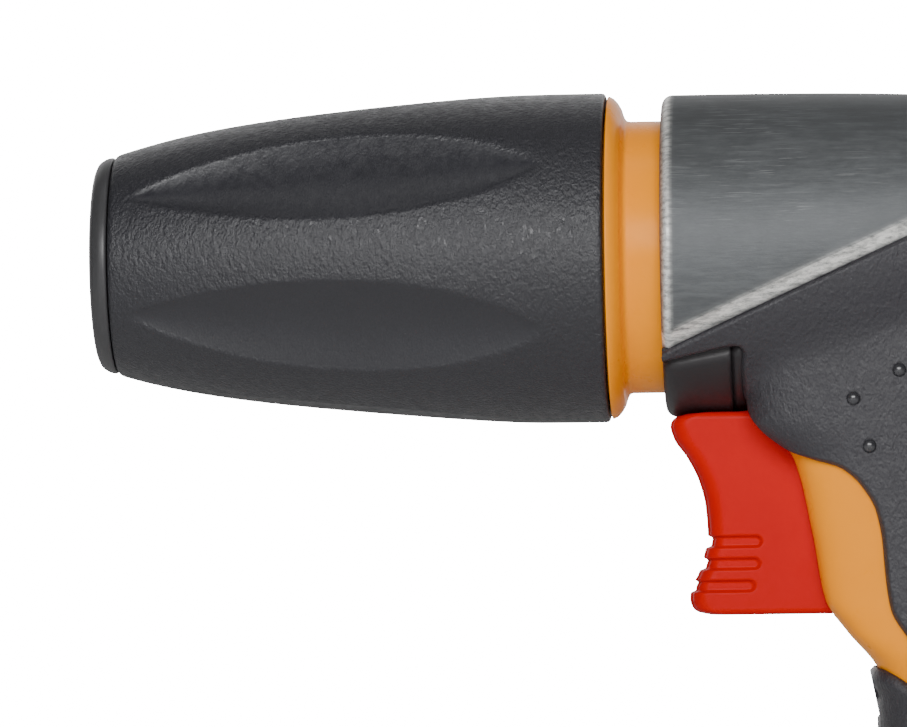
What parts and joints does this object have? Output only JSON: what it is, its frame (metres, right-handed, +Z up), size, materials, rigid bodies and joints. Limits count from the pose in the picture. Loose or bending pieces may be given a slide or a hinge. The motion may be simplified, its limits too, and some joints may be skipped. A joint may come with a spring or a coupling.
{
  "type": "garden hose spray gun",
  "caption": "Pistol-shaped hose spray gun with a scalloped twist nozzle, pull trigger, metal top shroud, rubber-covered handle and a stepped hose inlet at the foot.",
  "frame": {"origin": "centre of the whole spray gun's bounding box at rest", "axes": "+X from the spray outlet towards the rear of the gun, along the nozzle's axis; +Z up, away from the handle's foot; +Y across the gun, towards its right-hand side"},
  "size_m": [0.1692, 0.0494, 0.1632],
  "materials": {
    "soft_rubber": "fine leather grain, matt",
    "dark_plastic": "satin moulded",
    "bezel_plastic": "satin moulded",
    "orange_plastic": "gloss moulded",
    "red_plastic": "satin moulded",
    "cast_metal": "brushed grey with a bright cut edge",
    "brass": "turned",
    "steel": "zinc plated",
    "seal_rubber": "smooth"
  },
  "bodies": {
    "body": {"barrel": "dark_plastic", "jet_pin": "brass", "front_collar": "dark_plastic", "top_shroud": "cast_metal", "shell_left": "orange_plastic", "shell_right": "orange_plastic", "grip_cover_left": "soft_rubber", "grip_cover_right": "soft_rubber", "valve_chamber": "dark_plastic", "gland_nut": "dark_plastic", "gland_o_ring": "seal_rubber", "seat_cap": "dark_plastic", "seat_cap_o_ring": "seal_rubber", "seat_washer": "seal_rubber", "riser_pipe": "steel", "riser_top_o_ring": "seal_rubber", "riser_foot_o_ring": "seal_rubber", "inlet_spigot": "orange_plastic", "inlet_o_ring": "seal_rubber", "inlet_filter": "steel", "base_ring": "dark_plastic", "trigger_pin": "steel", "shell_screw_1": "steel", "shell_screw_2": "steel", "shell_screw_3": "steel", "shell_screw_4": "steel", "shell_screw_5": "steel", "shroud_screw_1": "steel", "shroud_screw_2": "steel", "shuttle_front_o_ring": "seal_rubber"},
    "nozzle_carrier": {"nozzle_o_ring": "seal_rubber"},
    "nozzle": {"nozzle_grip": "soft_rubber", "nozzle_bezel": "bezel_plastic", "nozzle_sleeve": "orange_plastic", "spray_tip": "brass"},
    "trigger": {"trigger": "red_plastic"},
    "shuttle": {"shuttle_tube": "brass", "return_spring": "steel"}
  },
  "joints": [
    {"name": "nozzle_travel", "type": "slide", "parent": "body", "child": "nozzle_carrier", "axis": [1, 0, 0], "range_m": [-0.0011, 0.0051]},
    {"name": "nozzle_turn", "type": "hinge", "parent": "nozzle_carrier", "child": "nozzle", "pos_m": [-0.0077, 0, 0.0569], "axis": [1, 0, 0], "range_deg": [-60, 300]},
    {"name": "trigger_pull", "type": "hinge", "parent": "body", "child": "trigger", "pos_m": [0.0193, 0, 0.0384], "axis": [0, -1, 0], "range_deg": [0, 13], "stiffness_Nm_per_rad": 0.25, "springref_deg": -45.84},
    {"name": "shuttle_slide", "type": "slide", "parent": "body", "child": "shuttle", "axis": [-1, 0, 0], "range_m": [0, 0.0043], "deforming": ["return_spring"]}
  ],
  "couplings": [
    {"joint": "nozzle_travel", "follows": "nozzle_turn", "m_per_rad": 0.00095493},
    {"joint": "shuttle_slide", "follows": "trigger_pull", "m_per_rad": 0.01858}
  ]
}
